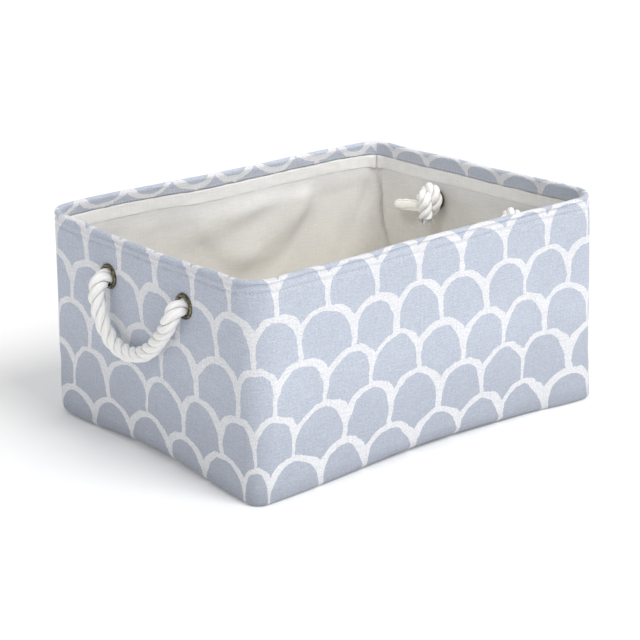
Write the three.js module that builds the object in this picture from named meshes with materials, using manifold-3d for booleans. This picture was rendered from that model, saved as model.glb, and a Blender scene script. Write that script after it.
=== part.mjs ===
// Open-topped fabric storage bin: a printed canvas shell over a stiffened base, a loose lining,
// a steel wire rolled into the rim, and a knotted rope handle through two eyelets at each end.
//
// Millimetres, +Z up. The origin is on the floor under the middle of the bin, and +X runs along
// its long side. "Inset" is the distance inwards from the outer face of the walls.

import * as THREE from 'three';
import { mergeVertices } from 'three/addons/utils/BufferGeometryUtils.js';
import Module from 'manifold-3d';

// Overall size
const LENGTH = 400;
const WIDTH = 300;
const HEIGHT = 200;
const CORNER_AT_RIM = 28; // plan radius of the wire ring's corners
const CORNER_AT_BASE = 16; // plan radius where the walls meet the floor
const BOTTOM_ROUND = 6; // rounding of the edge between the walls and the base
const CORNER_STEPS = 8;
const ROUND_STEPS = 24; // sides of turned pieces and their holes
const GAP = 0.3; // room between pieces that touch

// Cloth and board
const CANVAS = 1.5;
const LINING = 1;
const LINING_INSET = CANVAS + 0.6;
const LINING_TOP = 193;
const BOARD = 3;

// Rim: the canvas is folded over a wire ring and stitched below it
const HEM_BOTTOM = 184.9;
const FACING_BOTTOM = 184.6;
const HEM_ROLL = 3; // outer radius of the roll round the wire
const HEM_CANVAS = 1;
const WIRE_RADIUS = 1.5;
const STITCH_HEIGHT = 186;
const THREAD = 0.8;
const BAND_BOTTOM = 172; // turned-down edge of the lining
const BAND = 0.8;

// Eyelets, two in each end wall
const EYELET_SPREAD = 56; // from the middle of the end wall
const EYELET_HEIGHT = 154;
const EYELET_HOLE = 7.7; // radii
const EYELET_BARREL = 8.3;
const EYELET_FLANGE = 11.5;
const FLANGE = 1.7;
const BARREL_END = 4.2; // inset of the clinched end
const WASHER_INSET = 3.4;
const WASHER = 1.2;

// Rope handles
const ROPE_RADIUS = 7;
const PIVOT_OUT = 11.5; // the rope bends this far outside the wall
const HANDLE_STEPS = 40;
const ROPE_SIDES = 10;
const KNOT = { inset: 19.5, aside: 7.5, height: 156, radii: [14, 16, 17] }; // aside: from the eyelet
const TAIL_RADIUS = 6;

// Finishes
const CANVAS_BLUE = { color: 0x9fabbe, roughness: 0.9 };
const LINING_CREAM = { color: 0xd4d2cb, roughness: 0.92 };
const BOARD_GREY = { color: 0x8f8a80, roughness: 0.85 };
const THREAD_WHITE = { color: 0xe8e6e0, roughness: 0.8 };
const STEEL = { color: 0xb4b6b8, roughness: 0.35, metalness: 1 };
const ANTIQUE_BRASS = { color: 0x5b4c34, roughness: 0.42, metalness: 1 };
const COTTON = { color: 0xf0ece4, roughness: 0.95 };

const wasm = await Module();
wasm.setup();

const bin = new THREE.Group();

function place(name, geometry, finish, parent = bin) {
  const mesh = new THREE.Mesh(geometry, new THREE.MeshStandardMaterial(finish));
  mesh.name = name;
  parent.add(mesh);
  return mesh;
}

// ---- Solids: joins and cuts

function solidOf(geometry) {
  const plain = geometry.clone();
  plain.deleteAttribute('normal');
  plain.deleteAttribute('uv');
  const merged = mergeVertices(plain, 1e-4);
  const vertProperties = new Float32Array(merged.attributes.position.array);
  const triVerts = new Uint32Array(merged.index.array);
  return new wasm.Manifold(new wasm.Mesh({ numProp: 3, vertProperties, triVerts }));
}

function geometryOf(solid) {
  const { vertProperties, triVerts } = solid.getMesh();
  const geometry = new THREE.BufferGeometry();
  geometry.setAttribute('position', new THREE.BufferAttribute(vertProperties, 3));
  geometry.setIndex(new THREE.BufferAttribute(triVerts, 1));
  geometry.computeVertexNormals();
  return geometry;
}

function joined(...geometries) {
  return geometryOf(geometries.map(solidOf).reduce((whole, piece) => whole.add(piece)));
}

// ---- Plan of the bin: a rounded rectangle whose corners are wider at the rim

function outline(inset, z) {
  const corner = THREE.MathUtils.mapLinear(z, 0, HEIGHT, CORNER_AT_BASE, CORNER_AT_RIM);
  const x = LENGTH / 2 - corner;
  const y = WIDTH / 2 - corner;
  const quarter = Math.PI / 2;
  const middles = [[x, y], [-x, y], [-x, -y], [x, -y]];
  return middles.flatMap(([cx, cy], i) => {
    const radius = corner - inset;
    const curve = new THREE.EllipseCurve(cx, cy, radius, radius, i * quarter, (i + 1) * quarter);
    return curve.getPoints(CORNER_STEPS);
  });
}

// A closed cross-section, as points of inset and height that run up the outside and back down
// the inside, carried all the way round the plan.
function band(section) {
  const rings = section.map(([inset, z]) => outline(inset, z).map((p) => [p.x, p.y, z]));
  const around = rings[0].length;
  const index = [];
  for (let i = 0; i < rings.length; i++) {
    const above = (i + 1) % rings.length;
    for (let j = 0; j < around; j++) {
      const next = (j + 1) % around;
      const [a, b] = [i * around + j, i * around + next];
      const [c, d] = [above * around + next, above * around + j];
      index.push(a, b, c, a, c, d);
    }
  }
  const geometry = new THREE.BufferGeometry();
  geometry.setAttribute('position', new THREE.Float32BufferAttribute(rings.flat(2), 3));
  geometry.setIndex(index);
  geometry.computeVertexNormals();
  return geometry;
}

function arc(inset, z, radius, from, to, steps) {
  const curve = new THREE.EllipseCurve(inset, z, radius, radius, from, to, from > to);
  return curve.getPoints(steps).map((p) => [p.x, p.y]);
}

function plate(inset, bottom, thickness) {
  const shape = new THREE.Shape(outline(inset, bottom));
  const geometry = new THREE.ExtrudeGeometry(shape, { depth: thickness, bevelEnabled: false });
  return geometry.translate(0, 0, bottom);
}

// A wall of cloth that curls in under itself at the bottom
function curledWall(inset, thickness, bottom, top) {
  const round = BOTTOM_ROUND - inset;
  const middle = bottom + round;
  const [down, out] = [1.5 * Math.PI, Math.PI];
  return band([
    ...arc(BOTTOM_ROUND, middle, round, down, out, 4),
    [inset, top],
    [inset + thickness, top],
    ...arc(BOTTOM_ROUND, middle, round - thickness, out, down, 4),
  ]);
}

// ---- Cloth with the four eyelet holes punched through it

function punched(geometry) {
  const radius = EYELET_BARREL + GAP;
  const drill = new THREE.CylinderGeometry(radius, radius, 2 * LENGTH, ROUND_STEPS);
  drill.rotateZ(Math.PI / 2).translate(0, -EYELET_SPREAD, EYELET_HEIGHT);
  const front = solidOf(drill);
  const back = solidOf(drill.clone().translate(0, 2 * EYELET_SPREAD, 0));
  return geometryOf(solidOf(geometry).subtract(front).subtract(back));
}

place('outer_wall', punched(curledWall(0, CANVAS, 0, HEM_BOTTOM - GAP)), CANVAS_BLUE);
place('outer_base', plate(BOTTOM_ROUND + GAP, 0, CANVAS), CANVAS_BLUE);

const boardBottom = CANVAS + GAP;
place('base_board', plate(BOTTOM_ROUND - 1, boardBottom, BOARD), BOARD_GREY);

const liningBottom = boardBottom + BOARD + GAP;
place('lining_wall', punched(curledWall(LINING_INSET, LINING, liningBottom, LINING_TOP)), LINING_CREAM);
place('lining_base', plate(BOTTOM_ROUND + GAP, liningBottom, LINING), LINING_CREAM);

// ---- Rim

const rollHeight = HEIGHT - HEM_ROLL;
const hemInside = HEM_ROLL - HEM_CANVAS;
const facingInset = LINING_INSET + LINING + 0.4;
place('rim_hem', band([
  [0, HEM_BOTTOM],
  ...arc(HEM_ROLL, rollHeight, HEM_ROLL, Math.PI, 0, 8),
  [facingInset + HEM_CANVAS, FACING_BOTTOM],
  [facingInset, FACING_BOTTOM],
  ...arc(HEM_ROLL, rollHeight, hemInside, 0, Math.PI, 8),
  [HEM_CANVAS, HEM_BOTTOM],
]), CANVAS_BLUE);
place('rim_wire', band(arc(HEM_ROLL, rollHeight, WIRE_RADIUS, 2 * Math.PI, 0, 10).slice(1)), STEEL);
place('rim_stitching', band([
  [-GAP - THREAD, STITCH_HEIGHT],
  [-GAP - THREAD, STITCH_HEIGHT + THREAD],
  [-GAP, STITCH_HEIGHT + THREAD],
  [-GAP, STITCH_HEIGHT],
]), THREAD_WHITE);
place('lining_band', band([
  [facingInset, BAND_BOTTOM],
  [facingInset, FACING_BOTTOM - GAP],
  [facingInset + BAND, FACING_BOTTOM - GAP],
  [facingInset + BAND, BAND_BOTTOM],
]), LINING_CREAM);

// ---- Eyelets and washers: turned about their own axis, with the outside of the bin at -height

function turned(profile) {
  const points = profile.map(([radius, height]) => new THREE.Vector2(radius, height));
  return new THREE.LatheGeometry([...points, points[0]], ROUND_STEPS);
}

const eyelet = turned([
  [EYELET_HOLE, BARREL_END],
  [EYELET_HOLE, -GAP - FLANGE * 0.6],
  [EYELET_HOLE + 1, -GAP - FLANGE],
  [EYELET_FLANGE - 1.8, -GAP - FLANGE],
  [EYELET_FLANGE, -GAP - FLANGE * 0.4],
  [EYELET_FLANGE, -GAP],
  [EYELET_BARREL, -GAP],
  [EYELET_BARREL, BARREL_END],
]);
const washer = turned([
  [EYELET_BARREL + GAP, WASHER_INSET],
  [EYELET_FLANGE, WASHER_INSET],
  [EYELET_FLANGE, WASHER_INSET + WASHER * 0.6],
  [EYELET_FLANGE - 1, WASHER_INSET + WASHER],
  [EYELET_BARREL + GAP, WASHER_INSET + WASHER],
]);

// ---- Rope

function rope(points, radius, steps, sides = ROPE_SIDES) {
  const circle = new THREE.EllipseCurve(0, 0, radius, radius).getPoints(sides).slice(1);
  const route = new THREE.CatmullRomCurve3(points.map((p) => new THREE.Vector3(...p)));
  return new THREE.ExtrudeGeometry(new THREE.Shape(circle), { steps, extrudePath: route });
}

// One end of a rope: through the eyelet, a knot against the washer, a tail along the wall and a
// frayed end that hangs. Drawn for the eyelet at that y in the -X wall.
function ropeEnd(eyeletY) {
  const wall = -LENGTH / 2;
  const stub = rope([
    [wall + KNOT.inset, eyeletY, EYELET_HEIGHT],
    [wall - PIVOT_OUT + ROPE_RADIUS + GAP, eyeletY, EYELET_HEIGHT],
  ], ROPE_RADIUS, 1, ROUND_STEPS);
  const [x, y, z] = [wall + KNOT.inset, eyeletY + KNOT.aside, KNOT.height];
  const knot = new THREE.SphereGeometry(1, 20, 12).scale(...KNOT.radii).translate(x, y, z);
  const tail = rope([[x, y, z - 6], [x, y - 21, z - 9], [x - 1, y - 46, z - 11]], TAIL_RADIUS, 4);
  const frayed = rope([[x + 5, y + 3, z], [x + 8, y + 3, z - 12], [x + 8, y + 3, z - 22]], TAIL_RADIUS, 3);
  return joined(stub, knot, tail, frayed);
}

// The hanging handle at the -X end. It starts and ends on the line that it swings about.
const pivotX = -LENGTH / 2 - PIVOT_OUT;
const handleRoute = [
  [pivotX, EYELET_SPREAD, EYELET_HEIGHT],
  [pivotX - 1.5, 56, 146],
  [pivotX - 2, 56, 137],
  [pivotX - 1, 54.5, 125],
  [pivotX + 0.5, 50.5, 112],
  [pivotX + 1.5, 42, 101],
  [pivotX + 2, 27, 95],
  [pivotX + 2, 10, 95.5],
  [pivotX + 2, -6, 100.5],
  [pivotX + 1.5, -21, 109.5],
  [pivotX, -36, 122.5],
  [pivotX - 1.5, -48.5, 136],
  [pivotX - 2, -54, 145],
  [pivotX, -EYELET_SPREAD, EYELET_HEIGHT],
];

// ---- The two ends. The right end is the left one turned half round.

for (const [side, turn] of [['left', 0], ['right', Math.PI]]) {
  const end = new THREE.Group();
  end.rotation.z = turn;
  bin.add(end);
  for (const sign of [1, -1]) {
    const where = `${side}_${sign * Math.cos(turn) > 0 ? 'back' : 'front'}`;
    for (const [name, shape, finish] of [
      ['eyelet', eyelet, ANTIQUE_BRASS],
      ['washer', washer, ANTIQUE_BRASS],
    ]) {
      const piece = place(`${name}_${where}`, shape, finish, end);
      piece.rotation.z = -Math.PI / 2;
      piece.position.set(-LENGTH / 2, sign * EYELET_SPREAD, EYELET_HEIGHT);
    }
    place(`rope_end_${where}`, ropeEnd(sign * EYELET_SPREAD), COTTON, end);
  }
  place(`rope_handle_${side}`, rope(handleRoute, ROPE_RADIUS, HANDLE_STEPS), COTTON, end);
}

export default bin;
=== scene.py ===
import math

import bpy
import numpy as np
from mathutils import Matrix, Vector


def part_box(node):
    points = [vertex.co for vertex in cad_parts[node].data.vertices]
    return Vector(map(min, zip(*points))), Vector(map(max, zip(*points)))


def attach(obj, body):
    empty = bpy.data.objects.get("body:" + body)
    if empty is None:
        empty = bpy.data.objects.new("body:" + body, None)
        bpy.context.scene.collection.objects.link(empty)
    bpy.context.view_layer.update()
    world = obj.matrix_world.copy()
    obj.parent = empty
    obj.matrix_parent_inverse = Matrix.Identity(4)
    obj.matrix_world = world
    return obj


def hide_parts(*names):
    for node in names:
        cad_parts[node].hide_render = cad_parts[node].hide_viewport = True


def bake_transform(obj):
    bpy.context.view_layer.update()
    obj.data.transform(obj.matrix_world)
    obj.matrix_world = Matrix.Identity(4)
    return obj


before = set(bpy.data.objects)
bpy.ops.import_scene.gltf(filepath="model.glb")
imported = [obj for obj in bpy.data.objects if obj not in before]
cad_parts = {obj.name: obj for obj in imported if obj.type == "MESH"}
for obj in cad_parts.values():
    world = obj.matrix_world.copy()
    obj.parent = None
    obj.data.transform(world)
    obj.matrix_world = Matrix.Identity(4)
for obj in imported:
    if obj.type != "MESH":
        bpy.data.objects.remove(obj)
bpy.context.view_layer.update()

# Fabric storage bin. Metres, +Z up, floor at z = 0, long side along X. "Inset" is the distance
# inwards from the outer face of the walls; "u" runs round the walls from the back left corner,
# down the left side, and "v" runs up them.

MM = 0.001
UPWARDS = np.array([0, 0, 1.0])

# ---- Sizes, from the CAD nodes

HALF_X, HALF_Y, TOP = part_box("rim_hem")[1]
LINING_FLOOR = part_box("lining_base")[1][2]
STITCHES = sum(corner[2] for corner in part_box("rim_stitching")) / 2
FACING_EDGE = STITCHES - 0.5 * MM
BAND_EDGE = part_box("lining_band")[0][2]
eyelet_low, eyelet_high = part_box("eyelet_left_back")
EYELET_Y = (eyelet_low[1] + eyelet_high[1]) / 2
EYELET_Z = (eyelet_low[2] + eyelet_high[2]) / 2
CUT_R = 9.3 * MM  # the hole cut in the cloth for an eyelet
ROPE_R = 7 * MM

# Corners of the plan in the order that u meets them: signs of x and y, and radius at the rim
CORNERS = [(-1, 1, 0.023), (-1, -1, 0.031), (1, -1, 0.024), (1, 1, 0.022)]
CORNER_AT_FLOOR = 0.014
# Corners that stand out of the rectangle: signs of x and y, and how far along each at the rim and
# at the floor
PUSHED = [(-1, 1, (-0.0032, 0.0032), (-0.0020, 0.0020)),
          (1, -1, (0.0026, -0.0046), (0.0046, -0.0075))]
PUSH_REACH = 0.085  # distance from the corner's sides to where the push starts
PUSH_WHOLE = 0.015  # and to where it is whole
ROLL = 3 * MM  # radius of the canvas rolled over the rim wire
WIRE_R = 1.5 * MM
CANVAS = 1.0 * MM
LINING = 0.7 * MM


# ---- Camera: a long lens, from the front left and a little above

CAMERA_TURN = math.radians(-40.11)
CAMERA_RISE = math.radians(18.19)
CAMERA_ROLL = math.radians(-0.36)
CAMERA_DISTANCE = 1.714
CAMERA_TARGET = Vector((0, 0, 0.1))
CAMERA_SHIFT = (-0.0067, -0.0272)
FOCAL_LENGTH = 103.5  # in mm, for a sensor 36 mm wide


def place_camera():
    back = Vector((math.sin(CAMERA_TURN) * math.cos(CAMERA_RISE),
                   -math.cos(CAMERA_TURN) * math.cos(CAMERA_RISE), math.sin(CAMERA_RISE)))
    lens = bpy.data.cameras.new("camera")
    lens.sensor_width = 36
    lens.lens = FOCAL_LENGTH
    lens.shift_x, lens.shift_y = CAMERA_SHIFT
    lens.clip_start, lens.clip_end = 0.05, 60
    camera = bpy.data.objects.new("camera", lens)
    bpy.context.collection.objects.link(camera)
    camera.location = CAMERA_TARGET + back * CAMERA_DISTANCE
    camera.rotation_euler = (-back).to_track_quat("-Z", "Y").to_euler()
    camera.rotation_euler.rotate_axis("Z", CAMERA_ROLL)
    bpy.context.scene.camera = camera


place_camera()


# ---- Smooth irregularity, the same in every run

WAVES = 9  # in each ripple


def ripple(seed, length, period=None):
    """A smooth random function of two distances whose ripples are about that long. Its values
    are mostly from -1 to 1. With a period it repeats along the first distance."""
    draw = np.random.default_rng(seed)
    parts = []
    for _ in range(WAVES):
        angle = draw.uniform(0, 2 * math.pi)
        wave = length * draw.uniform(0.7, 1.6)
        kx, ky = 2 * math.pi * math.cos(angle) / wave, 2 * math.pi * math.sin(angle) / wave
        if period:
            kx = 2 * math.pi * round(kx * period / (2 * math.pi)) / period
        parts.append((kx, ky, draw.uniform(0, 2 * math.pi)))

    def value(a, b=0.0):
        return sum(np.sin(kx * a + ky * b + phase) for kx, ky, phase in parts) / 3

    return value


def smooth(x, low, high):
    t = np.clip((x - low) / (high - low), 0, 1)
    return t * t * (3 - 2 * t)


# ---- Plan of the walls

class Walk:
    """Columns round the plan. Column j lies at the angle turn[j] of a corner, or between two
    corners, and u[j] is its distance round the rim."""

    def __init__(self, step, corner_steps, crowd=0.0):
        columns = []
        for k in range(5):
            here, after = k % 4, (k + 1) % 4
            start = math.pi / 2 * (k + 1)
            for i in range(corner_steps):
                angle = start + math.pi / 2 * i / corner_steps
                if 0.75 * math.pi - 1e-9 <= angle < 2.75 * math.pi - 1e-9:
                    columns.append((here, here, 0.0, angle))
            if k == 4:
                break
            long_side = k % 2 == 1
            radii = CORNERS[here][2] + CORNERS[after][2]
            length = 2 * (HALF_X if long_side else HALF_Y) - radii
            count = round(length / step)
            for i in range(count):
                crowded = i / count - crowd * math.sin(2 * math.pi * i / count) / (2 * math.pi)
                columns.append((here, after, crowded, start + math.pi / 2))
        first, last, self.share, self.turn = np.array(columns).T.copy()
        self.first, self.last = first.astype(int), last.astype(int)
        x, y = self.at(TOP, 0.0)
        gaps = np.hypot(np.roll(x, -1) - x, np.roll(y, -1) - y)
        self.u = np.concatenate([[0], np.cumsum(gaps)[:-1]])
        self.around = float(gaps.sum())
        self.count = len(columns)

    def at(self, z, inset):
        """x and y of every column at a height and inset; both may be arrays of rows by columns."""
        signs = np.array([c[:2] for c in CORNERS], float)
        rims = np.array([c[2] for c in CORNERS])
        ends = []
        for corner in (self.first, self.last):
            radius = CORNER_AT_FLOOR + (rims[corner] - CORNER_AT_FLOOR) * np.clip(z / TOP, 0, 1)
            x = signs[corner, 0] * (HALF_X - radius) + (radius - inset) * np.cos(self.turn)
            y = signs[corner, 1] * (HALF_Y - radius) + (radius - inset) * np.sin(self.turn)
            ends.append((x, y))
        (xa, ya), (xb, yb) = ends
        x, y = xa + (xb - xa) * self.share, ya + (yb - ya) * self.share
        level = np.clip(z / TOP, 0, 1)
        for sx, sy, at_rim, at_floor in PUSHED:
            near = (smooth(sx * x, HALF_X - PUSH_REACH, HALF_X - PUSH_WHOLE)
                    * smooth(sy * y, HALF_Y - PUSH_REACH, HALF_Y - PUSH_WHOLE))
            x = x + (at_floor[0] + (at_rim[0] - at_floor[0]) * level) * near
            y = y + (at_floor[1] + (at_rim[1] - at_floor[1]) * level) * near
        return x, y

    def middle(self):
        """0 in the corners and 1 halfway along each side."""
        return np.sin(math.pi * self.share) ** 2

    def side(self):
        """0 left, 1 front, 2 right, 3 back, for the gap after each column."""
        after = self.turn + 1e-6
        return (np.round((after - math.pi) / (math.pi / 2)).astype(int)) % 4

    def points(self, z, inset):
        z, inset = np.broadcast_arrays(z, inset)
        x, y = self.at(z, inset)
        return np.stack([x, y, np.broadcast_to(z, x.shape)], -1)


# ---- Mesh building

def mesh_piece(name, points, faces, material, uv=None):
    mesh = bpy.data.meshes.new(name)
    mesh.from_pydata([tuple(p) for p in points], [], [tuple(f) for f in faces])
    mesh.update()
    for polygon in mesh.polygons:
        polygon.use_smooth = True
    if uv is not None:
        layer = mesh.uv_layers.new(name="cloth")
        layer.data.foreach_set("uv", np.asarray(uv, np.float32).ravel())
    piece = bpy.data.objects.new(name, mesh)
    bpy.context.collection.objects.link(piece)
    if material:
        mesh.materials.append(material)
    return piece


def quad_corners(values, right=None):
    """The values at each quad's four corners, from rows by columns of them. right holds the values
    one column on, if they aren't the same ones moved round."""
    if right is None:
        right = np.roll(values, -1, 1)
    return np.stack([values[:-1], right[:-1], right[1:], values[1:]], 2)


def double_cloth(name, front, back, material, uv, open_face=None):
    """A closed body from two layers of rows by columns of points, joined along their first and
    last rows and round any hole. uv gives each quad's four (u, v), as rows-1 by columns by 4."""
    rows, columns = front.shape[:2]
    points = np.concatenate([front.reshape(-1, 3), back.reshape(-1, 3)])
    keep = np.ones((rows - 1, columns), bool) if open_face is None else ~open_face
    faces, uvs = [], []
    under = rows * columns
    for i in range(rows - 1):
        for j in range(columns):
            if not keep[i, j]:
                continue
            k = (j + 1) % columns
            quad = [i * columns + j, i * columns + k, (i + 1) * columns + k, (i + 1) * columns + j]
            faces.append(quad)
            uvs.append(uv[i, j])
            faces.append([q + under for q in quad[::-1]])
            uvs.append(uv[i, j][::-1])

    def bridge(a, b, patch):
        faces.append([b, a, a + under, b + under])
        uvs.append([patch[0]] * 4)

    for j in range(columns):
        k = (j + 1) % columns
        bridge(j, k, uv[0, j])
        top = (rows - 1) * columns
        bridge(top + k, top + j, uv[rows - 2, j])
    for i in range(rows - 1):
        for j in range(columns):
            if keep[i, j]:
                continue
            k, left = (j + 1) % columns, (j - 1) % columns
            a, b = i * columns + j, i * columns + k
            c, d = (i + 1) * columns + k, (i + 1) * columns + j
            if i and keep[i - 1, j]:
                bridge(b, a, uv[i, j])
            if i < rows - 2 and keep[i + 1, j]:
                bridge(d, c, uv[i, j])
            if keep[i, left]:
                bridge(a, d, uv[i, j])
            if keep[i, k]:
                bridge(c, b, uv[i, j])
    return mesh_piece(name, points, faces, material, np.array(uvs))


def eyelet_gap(points):
    """Which quads of a wall are left out for the eyelets."""
    radius = np.hypot(np.abs(points[..., 1]) - EYELET_Y, points[..., 2] - EYELET_Z)
    inside = (radius < CUT_R) & (np.abs(points[..., 0]) > HALF_X - 0.02)
    inside = inside & np.roll(inside, -1, 1)
    return inside[:-1] & inside[1:]


def closed_tube(count, sides, base=0):
    """Faces of a tube of count rings of points, with a face over each end. base is the number of
    its first point."""
    index = base + np.arange(count * sides).reshape(count, sides)
    return quad_corners(index).reshape(-1, 4).tolist() + [index[0][::-1].tolist(), index[-1].tolist()]


def tube_uv(lefts, rights, v, end_u):
    """(u, v) for the corners of closed_tube's faces: each side's two u, each ring's v, and the u of
    the faces over the ends."""
    uv = [corner for low, high in zip(v, v[1:]) for a, b in zip(lefts, rights)
          for corner in ((a, low), (b, low), (b, high), (a, high))]
    return uv + [(end_u, v[0])] * len(lefts) + [(end_u, v[-1])] * len(lefts)


def strip_uv(u, v):
    """(u, v) of each quad's corners on a strip of cloth that goes round the walls."""
    shape = (len(v), len(u))
    along = quad_corners(np.broadcast_to(u, shape), np.broadcast_to(np.append(u[1:], AROUND), shape))
    return np.stack([along, quad_corners(np.broadcast_to(v[:, None], shape))], -1)


def loop_faces(count, sides):
    """Faces of a tube whose last ring joins its first."""
    index = np.arange(count * sides).reshape(count, sides)
    return quad_corners(np.concatenate([index, index[:1]])).reshape(-1, 4)


def spline(points, step):
    """Points evenly spaced along a smooth curve through the given ones."""
    p = np.array(points, float)
    p = np.concatenate([[2 * p[0] - p[1]], p, [2 * p[-1] - p[-2]]])
    fine = []
    for i in range(1, len(p) - 2):
        t = np.linspace(0, 1, 40, endpoint=False)[:, None]
        a, b, c, d = p[i - 1:i + 3]
        fine.append(0.5 * (2 * b + (c - a) * t + (2 * a - 5 * b + 4 * c - d) * t ** 2
                           + (3 * b - a - 3 * c + d) * t ** 3))
    fine = np.concatenate(fine + [p[-2:-1]])
    along = np.concatenate([[0], np.cumsum(np.linalg.norm(np.diff(fine, axis=0), axis=1))])
    count = max(3, int(round(along[-1] / step)) + 1)
    wanted = np.linspace(0, along[-1], count)
    return np.stack([np.interp(wanted, along, fine[:, k]) for k in range(3)], -1), wanted


def carried_frames(line):
    """Two unit vectors across the line at each point, turning as little as possible."""
    tangent = np.gradient(line, axis=0)
    tangent /= np.linalg.norm(tangent, axis=1)[:, None]
    across = np.zeros_like(line)
    start = np.cross(tangent[0], [0.3, 0.5, 0.81])
    across[0] = start / np.linalg.norm(start)
    for i in range(1, len(line)):
        moved = across[i - 1] - tangent[i] * np.dot(across[i - 1], tangent[i])
        across[i] = moved / np.linalg.norm(moved)
    return across, np.cross(tangent, across), tangent


# ---- Shader arithmetic

def plug(tree, value, slot):
    """Give a socket a number, a colour, a signal or another socket's output."""
    if isinstance(value, Signal):
        value = value.socket
    if isinstance(value, tuple):
        slot.default_value = (*value, 1)
    elif isinstance(value, (int, float)):
        slot.default_value = value
    else:
        tree.links.new(value, slot)


class Signal:
    """A shader output that can be added, multiplied and compared."""

    def __init__(self, tree, socket):
        self.tree, self.socket = tree, socket

    def apply(self, operation, *values):
        node = self.tree.nodes.new("ShaderNodeMath")
        node.operation = operation
        for slot, value in zip(node.inputs, (self,) + values):
            plug(self.tree, value, slot)
        return Signal(self.tree, node.outputs[0])

    def __add__(self, other):
        return self.apply("ADD", other)

    def __sub__(self, other):
        return self.apply("SUBTRACT", other)

    def __mul__(self, other):
        return self.apply("MULTIPLY", other)

    def __truediv__(self, other):
        return self.apply("DIVIDE", other)

    def __gt__(self, other):
        return self.apply("GREATER_THAN", other)

    def less_from(self, number):
        return self * -1 + number

    def floor(self):
        return self.apply("FLOOR")

    def round(self):
        return self.apply("ROUND")

    def absolute(self):
        return self.apply("ABSOLUTE")

    def sign(self):
        return self.apply("SIGN")

    def sine(self):
        return self.apply("SINE")

    def root(self):
        return self.apply("MAXIMUM", 0.0).apply("SQRT")

    def clamped(self):
        return self.apply("MAXIMUM", 0.0).apply("MINIMUM", 1.0)


class Finish:
    """A material with one shader, and the few nodes that these finishes share."""

    def __init__(self, name, **constants):
        self.material = bpy.data.materials.new(name)
        self.material.use_nodes = True
        self.tree = self.material.node_tree
        self.shader = self.tree.nodes["Principled BSDF"]
        for key, value in constants.items():
            socket = key.replace("_", " ").title().replace("Ior", "IOR")
            self.shader.inputs[socket].default_value = value

    def uv(self):
        node = self.tree.nodes.new("ShaderNodeUVMap")
        node.uv_map = "cloth"
        split = self.tree.nodes.new("ShaderNodeSeparateXYZ")
        self.tree.links.new(node.outputs[0], split.inputs[0])
        return Signal(self.tree, split.outputs[0]), Signal(self.tree, split.outputs[1])

    def space(self):
        node = self.tree.nodes.new("ShaderNodeTexCoord")
        split = self.tree.nodes.new("ShaderNodeSeparateXYZ")
        self.tree.links.new(node.outputs["Object"], split.inputs[0])
        return [Signal(self.tree, split.outputs[k]) for k in range(3)]

    def vector(self, *parts):
        node = self.tree.nodes.new("ShaderNodeCombineXYZ")
        for slot, value in zip(node.inputs, parts):
            plug(self.tree, value, slot)
        return node.outputs[0]

    def noise(self, *parts, detail=1.0, rough=0.5):
        """Noise from 0 to 1, with ripples about one unit of the given coordinates long."""
        node = self.tree.nodes.new("ShaderNodeTexNoise")
        node.inputs["Scale"].default_value = 1.0
        node.inputs["Detail"].default_value = detail
        node.inputs["Roughness"].default_value = rough
        self.tree.links.new(self.vector(*parts), node.inputs["Vector"])
        return Signal(self.tree, node.outputs["Fac"])

    def random(self, *parts):
        node = self.tree.nodes.new("ShaderNodeTexWhiteNoise")
        self.tree.links.new(self.vector(*parts), node.inputs["Vector"])
        return Signal(self.tree, node.outputs["Value"])

    def mix(self, way, amount, low, high):
        node = self.tree.nodes.new("ShaderNodeMix")
        node.data_type = "RGBA"
        node.blend_type = way
        plug(self.tree, amount, node.inputs["Factor"])
        slots = [s for s in node.inputs if s.type == "RGBA"]
        plug(self.tree, low, slots[0])
        plug(self.tree, high, slots[1])
        return [s for s in node.outputs if s.type == "RGBA"][0]

    def blend(self, amount, low, high):
        """A colour that goes from low to high with amount."""
        return self.mix("MIX", amount, low, high)

    def scaled(self, colour, amount):
        """A colour made darker or lighter by amount."""
        if isinstance(amount, Signal):
            grey = self.tree.nodes.new("ShaderNodeCombineColor")
            for slot in grey.inputs:
                plug(self.tree, amount, slot)
            amount = grey.outputs[0]
        return self.mix("MULTIPLY", 1, colour, amount)

    def colour(self, socket):
        self.tree.links.new(socket, self.shader.inputs["Base Color"])

    def rough(self, signal):
        self.tree.links.new(signal.socket, self.shader.inputs["Roughness"])

    def bump(self, height, depth):
        """height, in units of depth metres, raises the surface."""
        node = self.tree.nodes.new("ShaderNodeBump")
        node.inputs["Strength"].default_value = 1.0
        node.inputs["Distance"].default_value = depth
        self.tree.links.new(height.socket, node.inputs["Height"])
        self.tree.links.new(node.outputs[0], self.shader.inputs["Normal"])


def weave(finish, u, v, pitch):
    """Height of a plain weave, from 0 to 1, with uneven threads, and its slubs, from 0 to 1."""
    wobble = finish.noise(u * 90, v * 90) - 0.5
    a = u / pitch + wobble * 1.2
    b = v / pitch + wobble * 1.2
    warp = (a * math.pi).sine().absolute()
    weft = (b * math.pi).sine().absolute()
    over = ((a.floor() + b.floor()) * 0.5)
    over = (over - over.floor()) * 2
    height = warp * (over * 0.6 + 0.4) + weft * (over * -0.6 + 1.0)
    along = finish.noise(u * 70, v / (1.3 * pitch), detail=2)
    down = finish.noise(u / (1.3 * pitch), v * 70, 5.0, detail=2)
    slubs = along * 0.6 + down * 0.4
    return height * 0.5 + slubs * 0.9, slubs


# ---- The print: rows of hand-drawn scales

ROW = 41.5 * MM  # between the tops of one row and the next
ROW_TOP = 203.5 * MM  # top of the highest row, just over the rim
SCALE_X = -0.1737  # middle of a scale of the second row on the front wall, before its drift
OUTLINE = 5.8 * MM  # thickness of the outline at the top of a scale
SCALES_ROUND = 27
PRINT_BLUR = 0.5 * MM  # width of the soft edge of the print's lines
ARCH_WIDE, ARCH_HIGH = 30 * MM, 28 * MM  # the curve between the tops of two neighbouring scales
DOME_HIGH = 27 * MM


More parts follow.
